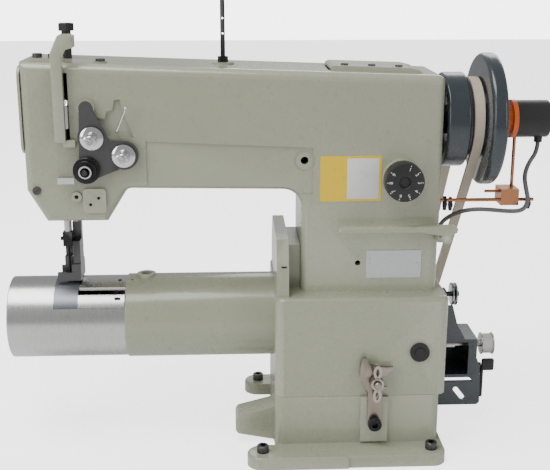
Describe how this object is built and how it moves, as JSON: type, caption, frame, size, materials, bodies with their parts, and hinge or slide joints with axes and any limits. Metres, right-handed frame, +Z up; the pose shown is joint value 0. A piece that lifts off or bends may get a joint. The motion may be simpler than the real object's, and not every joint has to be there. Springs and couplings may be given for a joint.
{
  "type": "leather sewing machine",
  "caption": "Cylinder-arm walking-foot sewing machine on a tilting base, with hand wheel, belt, thread tensions, reverse lever and bobbin winder.",
  "frame": {"origin": "centre of the base's underside", "axes": "+X from the needle towards the hand wheel, +Y to the rear, +Z up"},
  "size_m": [0.5988, 0.404, 0.4924],
  "materials": {
    "cream_paint": "hammered enamel, satin gloss",
    "slate_paint": "smooth gloss enamel",
    "orange_paint": "smooth satin",
    "black_steel": "black oxide",
    "bright_steel": "ground and polished",
    "blued_steel": "blued, satin",
    "chrome": "polished plate",
    "nickel": "nickel plated, worn",
    "copper_rod": "bright drawn rod",
    "black_plastic": "moulded, matt",
    "grey_plastic": "extruded, matt",
    "belt_leather": "woven and waxed",
    "black_rubber": "moulded, matt",
    "plate_aluminium": "anodised, satin",
    "label_film": "printed film",
    "white_thread": "wound thread",
    "bronze": "machined bush"
  },
  "bodies": {
    "base": {"base_casting": "cream_paint", "base_bolts": "black_steel", "latch_pivot_screw": "black_steel", "tilt_hinge_pins": "bright_steel", "winder_bracket": "slate_paint", "drive_belt": "belt_leather", "sync_lead": "grey_plastic", "lead_coil": "grey_plastic", "lead_plug": "black_plastic"},
    "latch": {"latch_strap": "nickel"},
    "wing_nut": {"latch_wing_nut": "nickel"},
    "main_shaft": {"main_shaft": "bright_steel", "needle_crank": "bright_steel", "small_wheel": "slate_paint", "hand_wheel": "slate_paint", "sync_rotor": "orange_paint"},
    "hook": {"hook_shaft": "bright_steel", "rotary_hook": "bright_steel"},
    "needle_bar": {"needle_bar": "bright_steel", "needle_clamp": "black_steel"},
    "inner_foot": {"inner_foot": "black_steel"},
    "outer_foot": {"presser_bar": "bright_steel", "outer_foot": "black_steel"},
    "presser_knob": {"presser_spring_knob": "black_plastic"},
    "take_up": {"take_up_lever": "chrome"},
    "tension_nut_a": {"tension_nut_upper": "chrome"},
    "tension_nut_b": {"tension_nut_right": "chrome"},
    "stitch_dial": {"stitch_dial": "black_plastic"},
    "reverse_lever": {"reverse_lever": "cream_paint"},
    "hand_lifter": {"hand_lifter": "bright_steel"},
    "bobbin_cover": {"bobbin_cover": "bright_steel"},
    "feed_dog": {"feed_dog": "bright_steel"},
    "winder_spindle": {"winder_spindle": "bright_steel", "winder_bobbin": "white_thread"},
    "winder_lever": {"winder_lever": "black_plastic"},
    "head": {"latch_stud": "nickel", "bed_casting": "cream_paint", "rubber_plug": "black_rubber", "arm_casting": "cream_paint", "face_plate": "cream_paint", "top_cover": "cream_paint", "head_top_plate": "cream_paint", "head_screws": "black_steel", "take_up_guard": "cream_paint", "tension_plate": "black_steel", "tension_discs": "chrome", "rotary_tension": "black_steel", "thread_guides": "chrome", "thread_post": "black_steel", "type_plate": "plate_aluminium", "blank_label": "label_film", "pivot_pins": "bright_steel", "bed_sleeve": "bright_steel", "needle_plate": "blued_steel", "bed_top_strip": "bright_steel", "bobbin_case": "bright_steel", "shaft_bearings": "bronze", "sync_housing": "black_plastic", "sync_bracket": "copper_rod", "timing_belt": "black_rubber"}
  },
  "joints": [
    {"name": "head_tilt", "type": "hinge", "parent": "base", "child": "head", "pos_m": [0, 0.09, 0.07], "axis": [-1, 0, 0], "range_deg": [0, 35], "deforming": ["drive_belt", "sync_lead"]},
    {"name": "latch_swing", "type": "hinge", "parent": "base", "child": "latch", "pos_m": [0.0305, -0.088, 0.041], "axis": [0, -1, 0], "range_deg": [0, 70]},
    {"name": "wing_nut_turn", "type": "hinge", "parent": "head", "child": "wing_nut", "pos_m": [0.0315, -0.09, 0.0905], "axis": [0, -1, 0], "range_deg": [-180, 180]},
    {"name": "hand_wheel_turn", "type": "hinge", "parent": "head", "child": "main_shaft", "pos_m": [0, 0, 0.363], "axis": [1, 0, 0], "continuous": true},
    {"name": "hook_turn", "type": "hinge", "parent": "head", "child": "hook", "pos_m": [0, 0, 0.14], "axis": [1, 0, 0], "continuous": true},
    {"name": "needle_bar_stroke", "type": "slide", "parent": "head", "child": "needle_bar", "axis": [0, 0, 1], "range_m": [0, 0.03]},
    {"name": "inner_foot_lift", "type": "slide", "parent": "head", "child": "inner_foot", "axis": [0, 0, 1], "range_m": [0, 0.006]},
    {"name": "presser_foot_lift", "type": "slide", "parent": "head", "child": "outer_foot", "axis": [0, 0, 1], "range_m": [0, 0.006]},
    {"name": "presser_knob_turn", "type": "hinge", "parent": "head", "child": "presser_knob", "pos_m": [-0.2975, 0.006, 0.45], "axis": [0, 0, 1], "range_deg": [-180, 180]},
    {"name": "take_up_swing", "type": "hinge", "parent": "head", "child": "take_up", "pos_m": [-0.294, -0.022, 0.385], "axis": [1, 0, 0], "range_deg": [-18, 18]},
    {"name": "tension_nut_upper_turn", "type": "hinge", "parent": "head", "child": "tension_nut_a", "pos_m": [-0.266, -0.074, 0.3555], "axis": [0, -1, 0], "range_deg": [-180, 180]},
    {"name": "tension_nut_right_turn", "type": "hinge", "parent": "head", "child": "tension_nut_b", "pos_m": [-0.234, -0.074, 0.337], "axis": [0, -1, 0], "range_deg": [-180, 180]},
    {"name": "stitch_dial_turn", "type": "hinge", "parent": "head", "child": "stitch_dial", "pos_m": [0.056, -0.07, 0.31], "axis": [0, -1, 0], "range_deg": [-150, 150]},
    {"name": "reverse_lever_press", "type": "hinge", "parent": "head", "child": "reverse_lever", "pos_m": [0.104, -0.072, 0.247], "axis": [0, -1, 0], "range_deg": [0, 9], "stiffness_Nm_per_rad": 0.5},
    {"name": "hand_lifter_swing", "type": "hinge", "parent": "head", "child": "hand_lifter", "pos_m": [-0.262, 0.066, 0.318], "axis": [0, -1, 0], "range_deg": [-40, 0]},
    {"name": "bobbin_cover_open", "type": "hinge", "parent": "head", "child": "bobbin_cover", "pos_m": [0, -0.0406, 0.162], "axis": [1, 0, 0], "range_deg": [0, 80]},
    {"name": "feed_dog_stroke", "type": "slide", "parent": "head", "child": "feed_dog", "axis": [1, 0, 0], "range_m": [-0.001, 0]},
    {"name": "winder_spindle_turn", "type": "hinge", "parent": "base", "child": "winder_spindle", "pos_m": [0, 0.02, 0.0895], "axis": [1, 0, 0], "continuous": true},
    {"name": "winder_lever_press", "type": "hinge", "parent": "base", "child": "winder_lever", "pos_m": [0, 0.02, 0.062], "axis": [1, 0, 0], "range_deg": [-8, 12]}
  ],
  "couplings": [
    {"joint": "hook_turn", "follows": "hand_wheel_turn", "ratio": 2}
  ]
}
